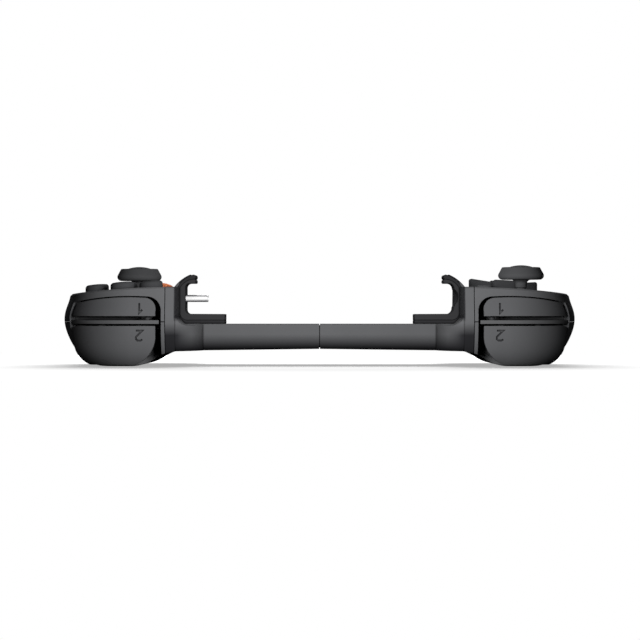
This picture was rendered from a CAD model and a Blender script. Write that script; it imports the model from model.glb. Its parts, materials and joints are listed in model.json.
"""A telescoping phone game controller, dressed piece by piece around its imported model."""

import json
import logging
import math
from dataclasses import dataclass
from enum import Enum
from typing import Sequence, Union

import bmesh
import bpy
import numpy as np
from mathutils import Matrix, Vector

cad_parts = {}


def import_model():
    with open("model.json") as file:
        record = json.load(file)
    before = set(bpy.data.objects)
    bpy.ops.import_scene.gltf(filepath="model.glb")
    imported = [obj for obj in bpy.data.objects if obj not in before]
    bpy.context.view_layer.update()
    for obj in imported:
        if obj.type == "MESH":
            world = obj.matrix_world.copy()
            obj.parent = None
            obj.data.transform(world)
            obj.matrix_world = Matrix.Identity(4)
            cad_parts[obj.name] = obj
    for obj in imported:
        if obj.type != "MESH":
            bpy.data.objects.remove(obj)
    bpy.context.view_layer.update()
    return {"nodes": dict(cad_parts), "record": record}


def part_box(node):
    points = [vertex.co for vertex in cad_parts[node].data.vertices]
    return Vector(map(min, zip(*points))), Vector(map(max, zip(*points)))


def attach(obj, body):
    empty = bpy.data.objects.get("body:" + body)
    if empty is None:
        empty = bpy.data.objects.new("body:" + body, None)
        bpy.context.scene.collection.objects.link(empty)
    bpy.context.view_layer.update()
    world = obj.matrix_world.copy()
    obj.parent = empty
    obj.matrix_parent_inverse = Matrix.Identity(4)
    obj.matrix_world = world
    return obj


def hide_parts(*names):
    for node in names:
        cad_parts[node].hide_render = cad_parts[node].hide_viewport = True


LOG = logging.getLogger("controller")

Array = np.ndarray
Colour = tuple[float, float, float]
Point = tuple[float, float, float]
Socket = bpy.types.NodeSocket
Tree = bpy.types.NodeTree

# Lengths in metres, angles in degrees.
MM = 0.001
SEAM_HEIGHT = 0.0150
MERGE_DISTANCE = 0.000002
FLAT_ANGLE = 0.6
ROUNDED_ANGLE = 32.0
SHARP_ANGLE = 50.0
EDGE_SEGMENTS = 2

# Width of the rounded edges, by the ending of a moulded node's name.
MOULDED_EDGES = {
    "front_shell": 0.00018,
    "rear_shell": 0.00018,
    "bridge_arm": 0.00018,
    "shoulder_bracket": 0.00012,
    "bumper": 0.00012,
    "trigger": 0.00012,
    "cradle_frame": 0.0002,
    "cradle_pad": 0.0002,
}


class Texture(Enum):
    """How a finish's fine relief runs."""

    GRAIN = "grain"
    BRUSHED = "brushed"
    SMOOTH = "smooth"


@dataclass(frozen=True)
class Zone:
    """A share from 0 at the outside to 1 at the inside, by distance from a middle, in metres."""

    axis: str
    outside: float
    inside: float
    middle: float = 0.0


@dataclass(frozen=True)
class Patch:
    """A colour for the part of a surface that lies inside every zone."""

    colour: Colour
    zones: tuple[Zone, ...]


def feed(tree: Tree, target: Socket, value: Union[Socket, float, Colour]) -> None:
    """Links a socket to an input, or sets the input to a number or a colour.

    Args:
        tree: The nodes.
        target: The input.
        value: A socket, a number or a colour.
    """
    if isinstance(value, Socket):
        tree.links.new(value, target)
    elif isinstance(value, tuple):
        target.default_value = (*value, 1)
    else:
        target.default_value = value


def reckon(tree: Tree, operation: str, first: Socket, second: Union[Socket, float] = 0.0) -> Socket:
    """Adds a math node.

    Args:
        tree: The nodes.
        operation: The node's operation.
        first: Its first value.
        second: Its second value, where the operation takes two.

    Returns:
        The node's result.
    """
    node = tree.nodes.new("ShaderNodeMath")
    node.operation = operation
    feed(tree, node.inputs[0], first)
    feed(tree, node.inputs[1], second)
    return node.outputs[0]


def ramp(
    tree: Tree,
    value: Socket,
    source: tuple[float, float] = (0.0, 1.0),
    result: tuple[float, float] = (0.0, 1.0),
) -> Socket:
    """Adds a node that carries a source range over to a result range and stays within it.

    Args:
        tree: The nodes.
        value: The value in the source range.
        source: The range's two ends.
        result: The results at the two ends.

    Returns:
        The node's result.
    """
    node = tree.nodes.new("ShaderNodeMapRange")
    for name, end in zip(("From Min", "From Max", "To Min", "To Max"), (*source, *result)):
        node.inputs[name].default_value = end
    tree.links.new(value, node.inputs["Value"])
    return node.outputs["Result"]


def blend(
    tree: Tree, share: Socket, first: Union[Socket, Colour], second: Union[Socket, Colour]
) -> Socket:
    """Adds a node that mixes two colours: first (1 - share) + second share.

    Args:
        tree: The nodes.
        share: The second colour's share.
        first: The first colour.
        second: The second colour.

    Returns:
        The mixed colour.
    """
    node = tree.nodes.new("ShaderNodeMix")
    node.data_type = "RGBA"
    for name, value in (("Factor", share), ("A", first), ("B", second)):
        feed(tree, node.inputs[name], value)
    return node.outputs["Result"]


@dataclass(frozen=True)
class Finish:
    """A procedural surface finish. Lengths are in metres, colours are linear.

    A fine noise of the grain's size and a broad noise of the patch's size move the colour by the
    mottle's share. The fine one also gives the relief. Hollows within the crevice's reach darken.
    """

    name: str
    colour: Colour
    roughness: float = 0.5
    relief: float = 0.00002
    grain: float = 0.00035
    texture: Texture = Texture.GRAIN
    metallic: float = 0.0
    specular: float = 0.5
    mottle: float = 0.12
    patch: float = 0.009
    crevice: float = 0.0007
    patches: tuple[Patch, ...] = ()
    fine_detail: float = 2.0
    broad_detail: float = 3.0
    brush_scale: float = 0.03
    relief_strength: float = 0.6
    roughness_range: float = 0.06
    hollow_colour: Colour = (0.003, 0.003, 0.003)
    hollow_power: float = 2.0

    def build(self) -> bpy.types.Material:
        """Makes the finish's node material.

        Returns:
            The new material.
        """
        material = bpy.data.materials.new(self.name)
        material.use_nodes = True
        tree = material.node_tree
        shader = tree.nodes["Principled BSDF"]
        shader.inputs["Metallic"].default_value = self.metallic
        shader.inputs["Specular IOR Level"].default_value = self.specular
        place = tree.nodes.new("ShaderNodeTexCoord")
        stretch = tree.nodes.new("ShaderNodeMapping")
        along = self.brush_scale if self.texture is Texture.BRUSHED else 1
        stretch.inputs["Scale"].default_value = (along, 1, 1)
        tree.links.new(place.outputs["Object"], stretch.inputs["Vector"])
        fine = self._noise(tree, stretch.outputs["Vector"], self.grain, self.fine_detail)
        broad = self._noise(tree, place.outputs["Object"], self.patch, self.broad_detail)
        tree.links.new(self._colour(tree, fine, broad), shader.inputs["Base Color"])
        least, most = self.roughness - self.roughness_range, self.roughness + self.roughness_range
        tree.links.new(ramp(tree, broad, result=(least, most)), shader.inputs["Roughness"])
        if self.texture is not Texture.SMOOTH:
            bump = tree.nodes.new("ShaderNodeBump")
            bump.inputs["Distance"].default_value = self.relief
            bump.inputs["Strength"].default_value = self.relief_strength
            tree.links.new(fine, bump.inputs["Height"])
            tree.links.new(bump.outputs["Normal"], shader.inputs["Normal"])
        return material

    def _noise(self, tree: Tree, vector: Socket, size: float, detail: float) -> Socket:
        """Adds a noise texture.

        Args:
            tree: The material's nodes.
            vector: The position that it reads.
            size: Size of its forms in metres.
            detail: Its detail.

        Returns:
            Its value.
        """
        node = tree.nodes.new("ShaderNodeTexNoise")
        node.inputs["Scale"].default_value = 1 / size
        node.inputs["Detail"].default_value = detail
        tree.links.new(vector, node.inputs["Vector"])
        return node.outputs["Fac"]

    def _colour(self, tree: Tree, fine: Socket, broad: Socket) -> Socket:
        """Mottles the colour, paints its patches and darkens its hollows.

        Args:
            tree: The material's nodes.
            fine: The fine noise.
            broad: The broad noise.

        Returns:
            The colour.
        """
        halves = [reckon(tree, "MULTIPLY", noise, 0.5) for noise in (fine, broad)]
        dark = tuple(value * (1 - self.mottle) for value in self.colour)
        light = tuple(min(value * (1 + self.mottle), 1.0) for value in self.colour)
        colour = blend(tree, reckon(tree, "ADD", *halves), dark, light)
        for patch in self.patches:
            colour = blend(tree, self._share(tree, patch), colour, patch.colour)
        if self.metallic or not self.crevice:
            return colour
        hollow = tree.nodes.new("ShaderNodeAmbientOcclusion")
        hollow.inputs["Distance"].default_value = self.crevice
        openness = reckon(tree, "POWER", hollow.outputs["AO"], self.hollow_power)
        return blend(tree, openness, self.hollow_colour, colour)

    def _share(self, tree: Tree, patch: Patch) -> Socket:
        """A patch's share by object position: the product of its zones' shares.

        A zone's share goes from 0 to 1 as |position - middle| goes from its outside to its inside.

        Args:
            tree: The material's nodes.
            patch: The patch.

        Returns:
            The share.
        """
        place = tree.nodes.new("ShaderNodeTexCoord")
        split = tree.nodes.new("ShaderNodeSeparateXYZ")
        tree.links.new(place.outputs["Object"], split.inputs[0])
        shares = []
        for zone in patch.zones:
            offset = reckon(tree, "SUBTRACT", split.outputs[zone.axis], zone.middle)
            distance = reckon(tree, "ABSOLUTE", offset)
            shares.append(ramp(tree, distance, source=(zone.outside, zone.inside)))
        total = shares[0]
        for share in shares[1:]:
            total = reckon(tree, "MULTIPLY", share, total)
        return total


FINISHES = {
    finish.name: finish
    for finish in (
        Finish(
            "housing", (0.102, 0.103, 0.107), specular=0.0,
            patches=(
                Patch((0.012, 0.012, 0.013), (Zone("Z", 0.00022, 0.00012, middle=SEAM_HEIGHT),)),
            ),
        ),
        Finish("control", (0.094, 0.095, 0.099), roughness=0.46, relief=0.000008, specular=0.0),
        Finish("cradle", (0.030, 0.030, 0.032), specular=0.0),
        Finish("pad", (0.040, 0.040, 0.042), roughness=0.7, grain=0.00025, specular=0.0),
        Finish("stick_rubber", (0.074, 0.075, 0.078), roughness=0.55, relief=0.00001, specular=0.0),
        Finish("button", (0.056, 0.057, 0.060), roughness=0.36, relief=0.000004, specular=0.0),
        Finish("bracket", (0.096, 0.097, 0.100), specular=0.0),
        Finish(
            "accent", (0.98, 0.30, 0.13), roughness=0.38, texture=Texture.SMOOTH, mottle=0.05,
            specular=0.0, crevice=0.0,
        ),
        Finish(
            "steel", (0.80, 0.80, 0.81), roughness=0.22, metallic=1.0, texture=Texture.SMOOTH,
            mottle=0.03,
        ),
        Finish(
            "plug_steel", (0.88, 0.88, 0.88), roughness=0.3, texture=Texture.SMOOTH, mottle=0.02,
            crevice=0.0,
            patches=(Patch((0.12, 0.12, 0.13), (Zone("Z", 0.0005, 0.0009, middle=0.0231),)),),
        ),
        Finish(
            "arm", (0.100, 0.101, 0.105), specular=0.0,
            patches=(
                Patch((0.018, 0.018, 0.020), (Zone("Z", 0.0108, 0.0058),)),
                Patch(
                    (0.020, 0.020, 0.022),
                    (Zone("X", 0.0430, 0.0475), Zone("Z", 0.0145, 0.0105)),
                ),
                Patch(
                    (0.022, 0.022, 0.024),
                    (Zone("X", 0.0487, 0.0482), Zone("Z", 0.0150, 0.0165)),
                ),
            ),
        ),
        Finish("switch", (0.02, 0.02, 0.02), roughness=0.4),
        Finish("board", (0.01, 0.09, 0.03), roughness=0.35),
        Finish("membrane", (0.42, 0.42, 0.42), roughness=0.65),
        Finish(
            "rail", (0.17, 0.17, 0.175), roughness=0.4, metallic=1.0, texture=Texture.BRUSHED,
            relief=0.000004,
        ),
        Finish("ribbon", (0.45, 0.2, 0.03), roughness=0.4, texture=Texture.SMOOTH),
    )
}


class Workshop:
    """Turns meshes into pieces, dresses them and keeps one material for each finish."""

    def __init__(self) -> None:
        """Starts with no materials."""
        self.materials: dict[str, bpy.types.Material] = {}

    def material(self, name: str) -> bpy.types.Material:
        """The material of a finish, made on first use.

        Args:
            name: Name of the finish.

        Returns:
            Its material.
        """
        if name not in self.materials:
            self.materials[name] = FINISHES[name].build()
        return self.materials[name]

    def dress(self, piece: bpy.types.Object, finish: str) -> None:
        """Gives a carried-over node or a new piece its finish.

        Args:
            piece: The object.
            finish: Name of the finish.
        """
        piece.data.materials.clear()
        piece.data.materials.append(self.material(finish))

    def add(
        self, name: str, mesh: bpy.types.Mesh, finish: str, body: str, replaces: Sequence[str]
    ) -> bpy.types.Object:
        """Links a mesh as a piece that rides on a body.

        Args:
            name: Name of the piece.
            mesh: Its mesh, already in place.
            finish: Name of the finish, which is also its slot in the record.
            body: The body that it moves with.
            replaces: Nodes that it stands for.

        Returns:
            The new object.
        """
        piece = bpy.data.objects.new(name, mesh)
        bpy.context.scene.collection.objects.link(piece)
        self.dress(piece, finish)
        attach(piece, body)
        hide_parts(*replaces)
        LOG.info("%s rides on %s", name, body)
        return piece

    def smooth_copy(self, node: str, finish: str, body: str, edge: float) -> bpy.types.Object:
        """Replaces a node by a merged copy of itself with small rounded edges and smooth shading.

        Args:
            node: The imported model's node.
            finish: Name of the finish.
            body: The body that it moves with.
            edge: Width of the rounded edges in metres.

        Returns:
            The new piece.
        """
        mesh = bpy.data.objects[node].data.copy()
        work = bmesh.new()
        work.from_mesh(mesh)
        bmesh.ops.remove_doubles(work, verts=work.verts, dist=MERGE_DISTANCE)
        flat = math.radians(FLAT_ANGLE)
        bmesh.ops.dissolve_limit(work, angle_limit=flat, verts=work.verts, edges=work.edges)
        work.to_mesh(mesh)
        work.free()
        piece = self.add(f"{node}_skin", mesh, finish, body, (node,))
        mesh.shade_smooth()
        bevel = piece.modifiers.new("edges", "BEVEL")
        bevel.width = edge
        bevel.segments = EDGE_SEGMENTS
        bevel.limit_method = "ANGLE"
        bevel.angle_limit = math.radians(ROUNDED_ANGLE)
        bevel.use_clamp_overlap = True
        mesh.set_sharp_from_angle(angle=math.radians(ROUNDED_ANGLE))
        normals = piece.modifiers.new("normals", "WEIGHTED_NORMAL")
        normals.keep_sharp = True
        return piece


def closed_surface(name: str, *tubes: Array) -> bpy.types.Mesh:
    """Makes a smooth mesh of one or more closed tubes of rings.

    The grid point (i, j) joins its neighbours along the ring, which closes on itself, and on the
    next ring. A fan to the first and last ring's middle closes the two ends.

    Args:
        name: Name of the mesh.
        tubes: Arrays of shape (rings, points, 3), in metres, ordered so that faces point outwards.

    Returns:
        The new mesh.
    """
    points: list[list[float]] = []
    faces: list[list[int]] = []
    for rings in tubes:
        rows, columns, _ = rings.shape
        row, column = np.meshgrid(np.arange(rows - 1), np.arange(columns), indexing="ij")
        after = (column + 1) % columns
        here, above = row * columns, (row + 1) * columns
        quads = np.stack([here + column, here + after, above + after, above + column], axis=-1)
        around = np.arange(columns)
        onward = (around + 1) % columns
        far = (rows - 1) * columns
        foot, tip = np.full(columns, rows * columns), np.full(columns, rows * columns + 1)
        first = np.stack([foot, onward, around], axis=-1)
        last = np.stack([tip, far + around, far + onward], axis=-1)
        for group in (quads.reshape(-1, 4), first, last):
            faces += (group + len(points)).tolist()
        points += rings.reshape(-1, 3).tolist()
        points += [rings[0].mean(axis=0).tolist(), rings[-1].mean(axis=0).tolist()]
    mesh = bpy.data.meshes.new(name)
    mesh.from_pydata(points, [], faces)
    mesh.shade_smooth()
    mesh.set_sharp_from_angle(angle=math.radians(SHARP_ANGLE))
    return mesh


def corner_arc(
    centre: tuple[float, float], radius: float, start: float, end: float, steps: int
) -> Array:
    """Points of an arc in a plane: centre + radius (cos a, sin a).

    Args:
        centre: The arc's middle.
        radius: Its radius.
        start: Its first angle in degrees.
        end: Its last angle in degrees.
        steps: Number of points.

    Returns:
        Array of shape (steps, 2).
    """
    angle = np.radians(np.linspace(start, end, steps))
    across, up = radius * np.cos(angle), radius * np.sin(angle)
    return np.stack([centre[0] + across, centre[1] + up], axis=1)


def turned_rings(profile: Array, centre: tuple[float, float], steps: int = 72) -> Array:
    """Rings of a profile turned about a vertical axis: x = cx + r cos a, y = cy + r sin a, z = h.

    Args:
        profile: Array of (radius, height) points in millimetres, from the bottom up.
        centre: The axis in plan, in millimetres.
        steps: Points around.

    Returns:
        Array of shape (rings, steps, 3) in millimetres.
    """
    angle = np.linspace(0, 2 * math.pi, steps, endpoint=False)
    radius, height = profile[:, :1], profile[:, 1:]
    across, along = radius * np.cos(angle), radius * np.sin(angle)
    upward = np.broadcast_to(height, across.shape)
    return np.stack([centre[0] + across, centre[1] + along, upward], axis=-1)


def vertices(node: str) -> Array:
    """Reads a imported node's vertices.

    Args:
        node: Name of the node.

    Returns:
        Array of shape (count, 3) in millimetres.
    """
    mesh = bpy.data.objects[node].data
    flat = np.empty(len(mesh.vertices) * 3)
    mesh.vertices.foreach_get("co", flat)
    return flat.reshape(-1, 3) / MM


@dataclass
class StickCap:
    """A thumbstick's rubber cap. Lengths are in millimetres, angles in degrees."""

    centre: tuple[float, float]
    neck_radius: float = 1.95
    neck_bottom: float = 26.75
    throat: float = 1.5
    under_height: float = 29.35
    under_radius: float = 6.4
    under_round: float = 1.4
    wall_angle: float = 30.0
    rim_radius: float = 6.15
    rim_height: float = 33.1
    rim_round: float = 0.5
    rim_angles: tuple[float, float] = (20.0, 110.0)
    crown_radius: float = 4.9
    crown_foot: float = 33.2
    crown_top: float = 34.28
    crown_power: float = 0.8
    crown_shares: tuple[float, float] = (0.96, 0.02)

    def profile(self) -> Array:
        """The cap's half section: neck, throat, underside, bulging wall, raised rim and crown.

        The crown is h = foot + (top - foot) (1 - s^2)^power at the share s of its radius.

        Returns:
            Array of (radius, height) points, from the bottom up.
        """
        neck = [(self.neck_radius, self.neck_bottom)]
        bend = (self.neck_radius + self.throat, self.under_height - self.throat)
        throat = corner_arc(bend, self.throat, 180, 90, steps=6)
        bulge = (self.under_radius, self.under_height + self.under_round)
        belly = corner_arc(bulge, self.under_round, -90, self.wall_angle, steps=12)
        brim = (self.rim_radius, self.rim_height)
        rim = corner_arc(brim, self.rim_round, *self.rim_angles, steps=7)
        valley = (self.rim_radius + self.crown_radius) / 2
        ring = [(valley, self.crown_foot), (self.crown_radius, self.crown_foot)]
        share = np.linspace(*self.crown_shares, 12)
        rise = (self.crown_top - self.crown_foot) * (1 - share**2) ** self.crown_power
        crown = np.stack([share * self.crown_radius, self.crown_foot + rise], axis=1)
        return np.concatenate([neck, throat, belly, rim, ring, crown])

    def build(self, shop: Workshop, side: str) -> None:
        """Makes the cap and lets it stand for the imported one.

        Args:
            shop: The workshop.
            side: The half that it belongs to, left or right.
        """
        node = f"{side}_stick_cap"
        mesh = closed_surface(f"{node}_rubber", turned_rings(self.profile(), self.centre) * MM)
        shop.add(f"{node}_rubber", mesh, "stick_rubber", node, (node,))


@dataclass
class PressButton:
    """A round button with a softly rounded top that leans with the playing face.

    Lengths are in millimetres, the slope in rise per length. The radius is read from the packed
    button's wall, in a band below its rounded edge, and the sink is the share of the slope's rise
    by which the leaning top comes down.
    """

    node: str
    slot: str
    finish: str
    top_round: float = 1.1
    crown: float = 0.15
    slope: float = 0.0
    flange: float = 0.6
    flange_height: float = 0.8
    lift: float = 0.0
    wall_band: float = 0.3
    sink: float = 0.3
    face_shares: tuple[float, float] = (0.94, 0.03)

    def build(self, shop: Workshop) -> None:
        """Makes the button from its packed place and size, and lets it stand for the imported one.

        The face is h = edge + crown (1 - s^2) at the share s of its radius.

        Args:
            shop: The workshop.
        """
        points = vertices(self.node)
        foot, top = points[:, 2].min(), points[:, 2].max()
        upper = points[points[:, 2] > top - self.top_round - self.crown - self.wall_band]
        low, high = upper.min(axis=0), upper.max(axis=0)
        centre, radius = (low + high) / 2, (high[0] - low[0]) / 2
        wide = points[np.abs(points[:, 1] - centre[1]) > radius + self.flange / 2]
        ledge = wide[:, 2].max()
        shelf = ledge - self.flange_height
        outer = radius + self.flange
        stem = [(radius, foot), (radius, shelf), (outer, shelf), (outer, ledge), (radius, ledge)]
        edge = top - self.crown + self.lift
        inner = radius - self.top_round
        shoulder = corner_arc((inner, edge - self.top_round), self.top_round, 0, 90, steps=8)
        share = np.linspace(*self.face_shares, 12)
        face = np.stack([share * inner, edge + self.crown * (1 - share**2)], axis=1)
        rings = turned_rings(np.concatenate([stem, shoulder, face]), (centre[0], centre[1]))
        lean = np.clip((rings[..., 2] - ledge) / (top - ledge), 0, 1) * self.slope
        sunk = self.slope * radius * self.sink * (lean != 0)
        rings[..., 2] += lean * (rings[..., 0] - centre[0]) - sunk
        mesh = closed_surface(self.node, rings * MM)
        piece = shop.add(f"{self.node}_cap", mesh, self.slot, self.node, (self.node,))
        shop.dress(piece, self.finish)


@dataclass
class DirectionPad:
    """A dished, rounded cross on its disc, in millimetres, with its slope in rise per length."""

    centre: tuple[float, float] = (64.6, 12.0)
    half: float = 11.9
    arm: float = 4.15
    corner: float = 1.3
    inner_corner: float = 0.3
    edge_round: float = 0.9
    foot: float = 22.3
    middle_height: float = 28.6
    sag: float = 1.0
    slope: float = 0.0524
    face_shares: tuple[float, float] = (0.9, 0.04)
    disc_radius: float = 10.4
    disc_bottom: float = 21.5
    disc_top: float = 22.4
    disc_share: float = 0.5

    def _outline(self, inset: float) -> Array:
        """A plus with round corners, moved in: three corner arcs, turned four times by 90 degrees.

        Args:
            inset: Distance from the cross's side.

        Returns:
            Array of (x, y) points about the cross's middle.
        """
        half, arm = self.half - inset, self.arm - inset
        corner, inner = self.corner - inset, self.inner_corner + inset
        quarter = np.concatenate([
            corner_arc((half - corner, arm - corner), corner, 0, 90, steps=7),
            corner_arc((arm + inner, arm + inner), inner, 270, 180, steps=7),
            corner_arc((arm - corner, half - corner), corner, 0, 90, steps=7),
        ])
        turn = np.array([[0, 1], [-1, 0]])
        return np.concatenate([quarter @ np.linalg.matrix_power(turn, times) for times in range(4)])

    def _ring(self, plan: Array, drop: float) -> Array:
        """A ring at the dished and sloping top: z = m + sag (r / half)^2 - slope x - drop.

        Args:
            plan: Array of (x, y) points about the cross's middle.
            drop: Distance below the top.

        Returns:
            Array of (x, y, z) points.
        """
        reach = (plan**2).sum(axis=1) / self.half**2
        height = self.middle_height + self.sag * reach - self.slope * plan[:, 0] - drop
        return np.column_stack([plan[:, 0] + self.centre[0], plan[:, 1] + self.centre[1], height])

    def build(self, shop: Workshop) -> None:
        """Makes cross and disc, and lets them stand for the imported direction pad.

        Args:
            shop: The workshop.
        """
        foot = self._ring(self._outline(0.0), 0.0)
        foot[:, 2] = self.foot
        turn = np.radians(np.linspace(0, 90, 8))
        insets, drops = self.edge_round * (1 - np.cos(turn)), self.edge_round * (1 - np.sin(turn))
        shoulder = [self._ring(self._outline(inset), drop) for inset, drop in zip(insets, drops)]
        inner = self._outline(self.edge_round)
        face = [self._ring(inner * share, 0.0) for share in np.linspace(*self.face_shares, 12)]
        rim = np.array([
            (self.disc_radius, self.disc_bottom),
            (self.disc_radius, self.disc_top),
            (self.disc_radius * self.disc_share, self.disc_top),
        ])
        tubes = [np.array([foot, *shoulder, *face]) * MM, turned_rings(rim, self.centre) * MM]
        mesh = closed_surface("d_pad_cross", *tubes)
        piece = shop.add("d_pad_cross", mesh, "control", "d_pad", ("d_pad",))
        shop.dress(piece, "button")


@dataclass
class Plug:
    """The plug in the cradle: a flat oval tube with rolled edges. Lengths are in millimetres."""

    node: str = "usb_plug"
    edge: float = 0.25
    wall: float = 0.3
    depth: float = 6.0
    mouth_taper: float = 0.02
    bore_taper: float = 0.05

    def _oval(self, width: float, height: float, steps: int = 64) -> Array:
        """A flat oval: two half circles of half the height, moved out to the width's ends.

        Args:
            width: Its width.
            height: Its height.
            steps: Points around.

        Returns:
            Array of (y, z) points about its middle.
        """
        angle = np.linspace(0, 2 * math.pi, steps, endpoint=False) + math.pi / steps
        radius = height / 2
        shift = np.sign(np.cos(angle)) * (width / 2 - radius)
        return np.stack([shift + radius * np.cos(angle), radius * np.sin(angle)], axis=1)

    def build(self, shop: Workshop, body: str) -> None:
        """Makes the plug from its packed box: outside to the tip, round the edge, down the bore.

        Args:
            shop: The workshop.
            body: The body that it moves with.
        """
        low, high = (np.array(corner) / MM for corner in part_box(self.node))
        width, height = high[1] - low[1], high[2] - low[2]
        middle = (low + high) / 2
        tip, root = high[0], low[0]
        turn = np.radians(np.linspace(0, 90, 5))
        forward = tip - self.edge + self.edge * np.sin(turn)
        stations = [
            (root, 0.0),
            *zip(forward, self.edge * (1 - np.cos(turn))),
            (tip, self.wall + self.mouth_taper),
            (tip - self.depth, self.wall + self.bore_taper),
        ]
        rings = []
        for x, inset in stations:
            oval = self._oval(width - 2 * inset, height - 2 * inset)
            place = np.full(len(oval), x)
            rings.append(np.column_stack([place, middle[1] + oval[:, 0], middle[2] + oval[:, 1]]))
        mesh = closed_surface(self.node, np.array(rings) * MM)
        piece = shop.add("usb_plug_shell", mesh, "steel", body, (self.node,))
        shop.dress(piece, "plug_steel")


@dataclass
class Screws:
    """Three screws of one half, with a cross recess in each head. Lengths are in millimetres.

    A place gives the distance from the middle, the place along and the height of the head's
    outer face, which looks down.
    """

    side: str
    sign: int
    places: tuple[Point, ...] = ((57.0, -26.0, 3.9), (77.0, -3.0, 1.6), (56.2, 36.5, 3.9))
    head_radius: float = 1.7
    head_height: float = 1.3
    head_round: float = 0.3
    shank_radius: float = 0.8
    shank_top: float = 20.0
    recess_radius: float = 0.95
    recess_depth: float = 0.8
    recess_taper: float = 0.55
    recess_swell: float = 0.35
    recess_arms: int = 4
    recess_lip: float = 0.02
    steps: int = 48

    def build(self, shop: Workshop, body: str) -> None:
        """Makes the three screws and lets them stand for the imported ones.

        Args:
            shop: The workshop.
            body: The body that they move with.
        """
        tubes = [self._screw(self.sign * u, y, floor) * MM for u, y, floor in self.places]
        name = f"{self.side}_screws"
        mesh = closed_surface(f"{name}_steel", *tubes)
        shop.add(f"{name}_steel", mesh, "steel", body, (name,))

    def _screw(self, x: float, y: float, floor: float) -> Array:
        """Rings of one screw, from the bottom of its recess round the head and up the shank.

        The recess's two rings swell at each of its arms: r (1 + swell cos(arms a)).

        Args:
            x: Its axis across.
            y: Its axis along.
            floor: Height of the head's outer face.

        Returns:
            Array of shape (rings, steps, 3).
        """
        head = floor + self.head_height
        recess = [
            (self.recess_radius * self.recess_taper, floor + self.recess_depth),
            (self.recess_radius, floor + self.recess_lip),
        ]
        corner = (self.head_radius - self.head_round, floor + self.head_round)
        rim = corner_arc(corner, self.head_round, -90, 0, steps=5)
        shank = [
            (self.head_radius, head),
            (self.shank_radius, head),
            (self.shank_radius, self.shank_top),
        ]
        rings = turned_rings(np.concatenate([recess, rim, shank]), (x, y), self.steps)
        angle = np.linspace(0, 2 * math.pi, self.steps, endpoint=False)
        swell = 1 + self.recess_swell * np.cos(self.recess_arms * angle)
        axis, cross = np.array([x, y]), rings[: len(recess), :, :2]
        rings[: len(recess), :, :2] = axis + (cross - axis) * swell[:, None]
        return rings


@dataclass(frozen=True)
class Lamp:
    """A rectangular soft light that faces a target. Lengths are in metres, the power in watts."""

    name: str
    place: Point
    target: Point
    size: tuple[float, float]
    power: float


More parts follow.
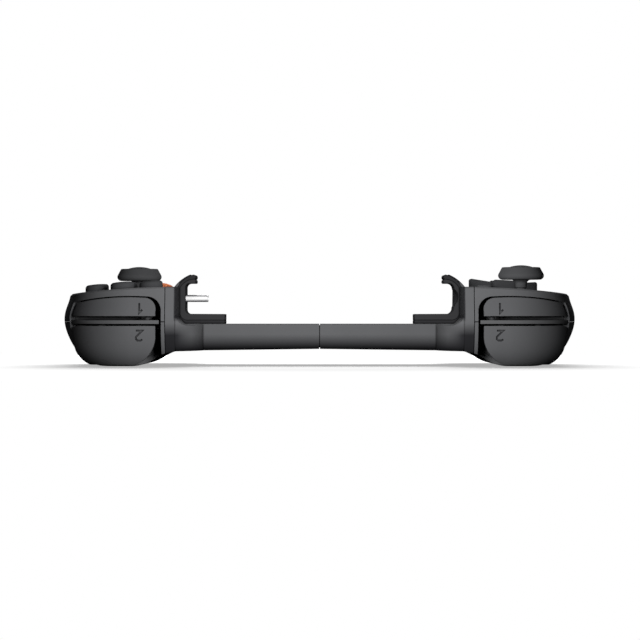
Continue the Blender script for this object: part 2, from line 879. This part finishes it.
@dataclass
class Studio:
    """Pale floor, soft lights and the camera at the photograph's place. Lengths are in metres.

    The lens is given in pixels of the square photograph, the sensor in millimetres.
    """

    distance: float = 1.0
    eye_height: float = 0.0156
    sideways: float = 0.00014
    lens_pixels: float = 2870
    photo_pixels: float = 640
    sensor: float = 36
    nearest: float = 0.01
    farthest: float = 100
    floor_half: float = 0.26
    floor_seen: float = 0.95
    floor_bounce: float = 0.12
    glow_least: float = 0.42
    glow_start: float = 0.10
    glow_end: float = 0.25
    world_fill: float = 0.03
    front: Lamp = Lamp("front", (0.0, -0.16, 0.042), (0, 0, 0.012), (0.05, 0.05), 0.28)
    back: Lamp = Lamp("back", (0.0, 0.50, 0.36), (0, 0, 0), (0.6, 0.4), 5.2)

    def build(self) -> None:
        """Makes camera, floor, world and lights. The front light leaves the floor out."""
        self._camera()
        floor = self._floor()
        self._world()
        front = self._light(self.front)
        self._light(self.back)
        skipped = bpy.data.collections.new("skipped_by_front")
        skipped.objects.link(floor)
        skipped.collection_objects[0].light_linking.link_state = "EXCLUDE"
        front.light_linking.receiver_collection = skipped
        scene = bpy.context.scene
        scene.view_settings.view_transform = "Standard"

    def _camera(self) -> None:
        """Makes a level camera that looks along +Y."""
        data = bpy.data.cameras.new("camera")
        data.sensor_width = self.sensor
        data.lens = self.lens_pixels / self.photo_pixels * self.sensor
        data.clip_start = self.nearest
        data.clip_end = self.farthest
        camera = bpy.data.objects.new("camera", data)
        camera.location = (self.sideways, -self.distance, self.eye_height)
        camera.rotation_euler = (math.pi / 2, 0, 0)
        bpy.context.scene.collection.objects.link(camera)
        bpy.context.scene.camera = camera

    def _floor(self) -> bpy.types.Object:
        """A square floor, white to the camera apart from the object's shadow.

        To the camera it has a paler colour, and a glow that grows with the distance from the
        middle. Other rays meet its darker bounce colour alone.

        Returns:
            The floor.
        """
        half = self.floor_half
        corners = [(-half, -half, 0), (half, -half, 0), (half, half, 0), (-half, half, 0)]
        mesh = bpy.data.meshes.new("floor")
        mesh.from_pydata(corners, [], [(0, 1, 2, 3)])
        floor = bpy.data.objects.new("floor", mesh)
        bpy.context.scene.collection.objects.link(floor)
        material = bpy.data.materials.new("floor")
        material.use_nodes = True
        mesh.materials.append(material)
        tree = material.node_tree
        paint = tree.nodes["Principled BSDF"]
        paint.inputs["Roughness"].default_value = 1.0
        paint.inputs["Specular IOR Level"].default_value = 0.0
        seen = tree.nodes.new("ShaderNodeLightPath").outputs["Is Camera Ray"]
        shade = ramp(tree, seen, result=(self.floor_bounce, self.floor_seen))
        tree.links.new(shade, paint.inputs["Base Color"])
        place = tree.nodes.new("ShaderNodeTexCoord")
        reach = tree.nodes.new("ShaderNodeVectorMath")
        reach.operation = "LENGTH"
        tree.links.new(place.outputs["Object"], reach.inputs[0])
        source, result = (self.glow_start, self.glow_end), (self.glow_least, 1.0)
        glow = tree.nodes.new("ShaderNodeEmission")
        strength = ramp(tree, reach.outputs["Value"], source, result)
        tree.links.new(strength, glow.inputs["Strength"])
        nothing = tree.nodes.new("ShaderNodeEmission")
        nothing.inputs["Strength"].default_value = 0.0
        choose = tree.nodes.new("ShaderNodeMixShader")
        total = tree.nodes.new("ShaderNodeAddShader")
        tree.links.new(seen, choose.inputs[0])
        tree.links.new(nothing.outputs[0], choose.inputs[1])
        tree.links.new(glow.outputs[0], choose.inputs[2])
        tree.links.new(choose.outputs[0], total.inputs[0])
        tree.links.new(paint.outputs[0], total.inputs[1])
        tree.links.new(total.outputs[0], tree.nodes["Material Output"].inputs["Surface"])
        return floor

    def _world(self) -> None:
        """Makes a world that is white to the camera, glass and gloss, and a soft fill otherwise."""
        world = bpy.data.worlds.new("studio")
        bpy.context.scene.world = world
        world.use_nodes = True
        tree = world.node_tree
        background = tree.nodes["Background"]
        background.inputs["Color"].default_value = (1, 1, 1, 1)
        path = tree.nodes.new("ShaderNodeLightPath")
        white = path.outputs["Is Camera Ray"]
        for ray in ("Is Transmission Ray", "Is Glossy Ray"):
            white = reckon(tree, "MAXIMUM", white, path.outputs[ray])
        strength = ramp(tree, white, result=(self.world_fill, 1.0))
        tree.links.new(strength, background.inputs["Strength"])

    def _light(self, lamp: Lamp) -> bpy.types.Object:
        """Makes a lamp that is hidden from the camera.

        Args:
            lamp: Its name, place, target, size and power.

        Returns:
            The light.
        """
        data = bpy.data.lights.new(lamp.name, "AREA")
        data.shape = "RECTANGLE"
        data.size, data.size_y = lamp.size
        data.energy = lamp.power
        light = bpy.data.objects.new(lamp.name, data)
        light.visible_camera = False
        light.location = lamp.place
        away = np.array(lamp.place) - np.array(lamp.target)
        flat = math.hypot(away[0], away[1])
        light.rotation_euler = (math.atan2(flat, away[2]), 0, math.atan2(away[0], -away[1]))
        bpy.context.scene.collection.objects.link(light)
        return light


def main() -> None:
    """Builds the studio and dresses every piece."""
    logging.basicConfig(level=logging.INFO, format="%(message)s")
    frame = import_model()
    shop = Workshop()
    record = frame["record"]
    slots = {entry["node"]: entry["material_slot"] for entry in record["subparts"]}
    grouped = record["behaviour"]["bodies"]
    bodies = {node: body for body, nodes in grouped.items() for node in nodes}
    Studio().build()
    for side, sign, stick in (("left", 1, (68.7, -21.0)), ("right", -1, (-63.5, 12.0))):
        StickCap(stick).build(shop, side)
        Screws(side, sign).build(shop, f"{side}_half")
    for place in ("near", "far", "inner", "outer"):
        node = f"face_button_{place}"
        PressButton(node, "control", "button", slope=0.075, lift=0.38).build(shop)
    PressButton("home_button", "accent", "accent", top_round=0.3, crown=0.9, lift=0.3).build(shop)
    DirectionPad().build(shop)
    Plug().build(shop, "right_half")
    for node, carried in frame["nodes"].items():
        shop.dress(carried, slots[node])
        for ending, edge in MOULDED_EDGES.items():
            if node.endswith(ending):
                skin = shop.smooth_copy(node, slots[node], bodies[node], edge)
                if ending == "bridge_arm":
                    shop.dress(skin, "arm")


if __name__ == "__main__":
    main()
